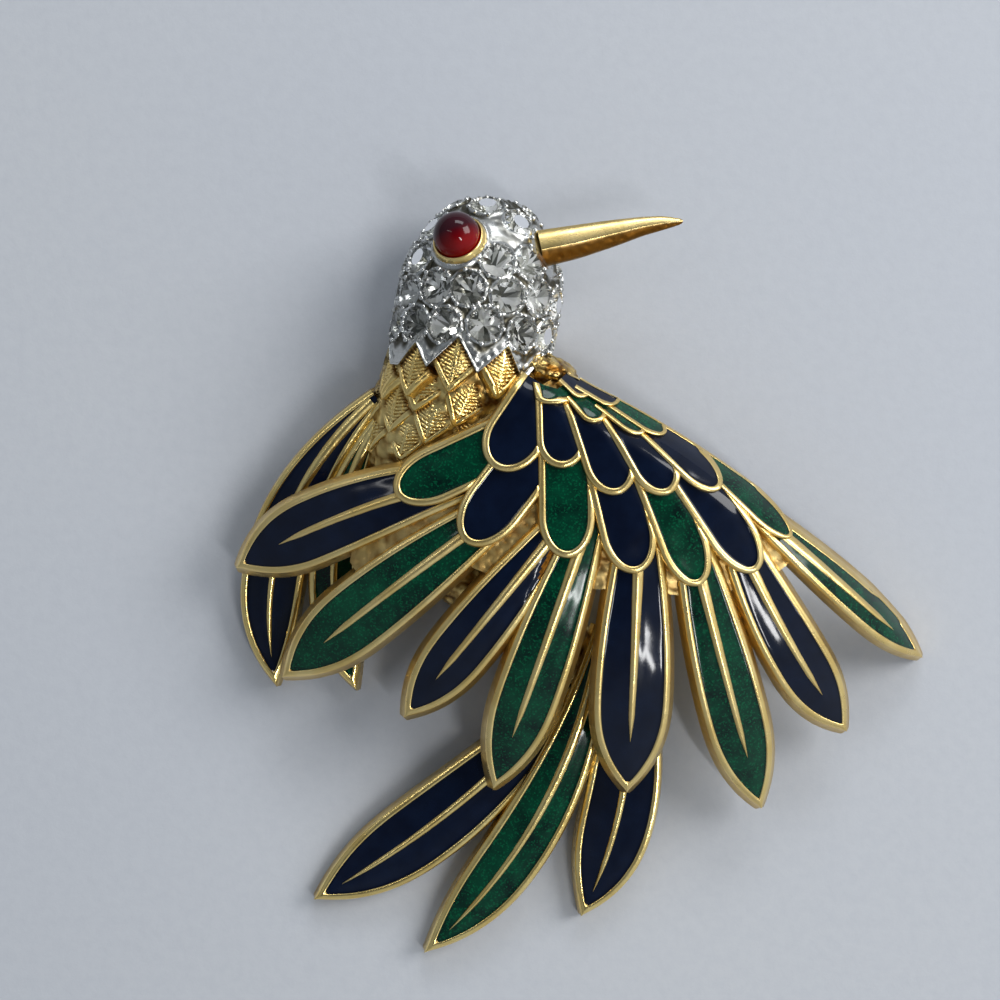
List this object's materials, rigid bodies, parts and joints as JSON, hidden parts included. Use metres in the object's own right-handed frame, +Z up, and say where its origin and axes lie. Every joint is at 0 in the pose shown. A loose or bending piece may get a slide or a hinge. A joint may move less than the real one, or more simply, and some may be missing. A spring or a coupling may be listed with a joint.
{
  "type": "hummingbird brooch",
  "caption": "Cast brooch in the shape of a hummingbird with spread wings in blue and green enamel, a stone-set head with a red eye, and a pin on the back.",
  "frame": {"origin": "middle of the bounding box's base, on the surface that the brooch lies on", "axes": "+Y from the tail towards the crown of the head, +X to the right as the brooch is seen face up, +Z up towards the viewer, away from the pin"},
  "size_m": [0.0619, 0.0679, 0.0135],
  "materials": {
    "cast_gold": "gold-tone casting with chased leaf scales, bright edges and darker grooves",
    "wing_gold": "pale gold-tone rims, polished",
    "polished_gold": "polished gold-tone",
    "white_metal": "bright silver-tone casting between the stones",
    "pin_metal": "plain gold-tone",
    "clear_stone": "clear cut glass over a bright back",
    "red_cabochon": "deep red, polished",
    "navy_enamel": "near-black blue translucent enamel, glossy",
    "green_enamel": "emerald translucent enamel with a fine sparkle, glossy"
  },
  "bodies": {
    "root": {"body_casting": "cast_gold", "near_wing_casting": "wing_gold", "head_casting": "white_metal", "pave_stones": "clear_stone", "eye_bezel": "wing_gold", "eye_cabochon": "red_cabochon", "beak": "polished_gold", "pin_clasp": "pin_metal", "shoulder_cell_1": "navy_enamel", "shoulder_cell_2": "navy_enamel", "middle_cell_1": "navy_enamel", "middle_cell_2": "navy_enamel", "middle_cell_3": "navy_enamel", "middle_cell_4": "navy_enamel", "middle_cell_5": "navy_enamel", "lower_cell_2": "navy_enamel", "lower_cell_4": "navy_enamel", "lower_cell_6": "navy_enamel", "flight_cell_1": "navy_enamel", "flight_cell_3": "navy_enamel", "flight_cell_5": "navy_enamel", "flight_cell_7": "navy_enamel", "far_wing_cell_1": "navy_enamel", "tail_cell_1": "navy_enamel", "tail_cell_3": "navy_enamel", "upper_cell_1": "green_enamel", "upper_cell_2": "green_enamel", "upper_cell_3": "green_enamel", "upper_cell_4": "green_enamel", "lower_cell_1": "green_enamel", "lower_cell_3": "green_enamel", "lower_cell_5": "green_enamel", "lower_cell_7": "green_enamel", "flight_cell_2": "green_enamel", "flight_cell_4": "green_enamel", "flight_cell_6": "green_enamel", "flight_cell_8": "green_enamel", "far_wing_cell_2": "green_enamel", "tail_cell_2": "green_enamel"}
  },
  "joints": []
}
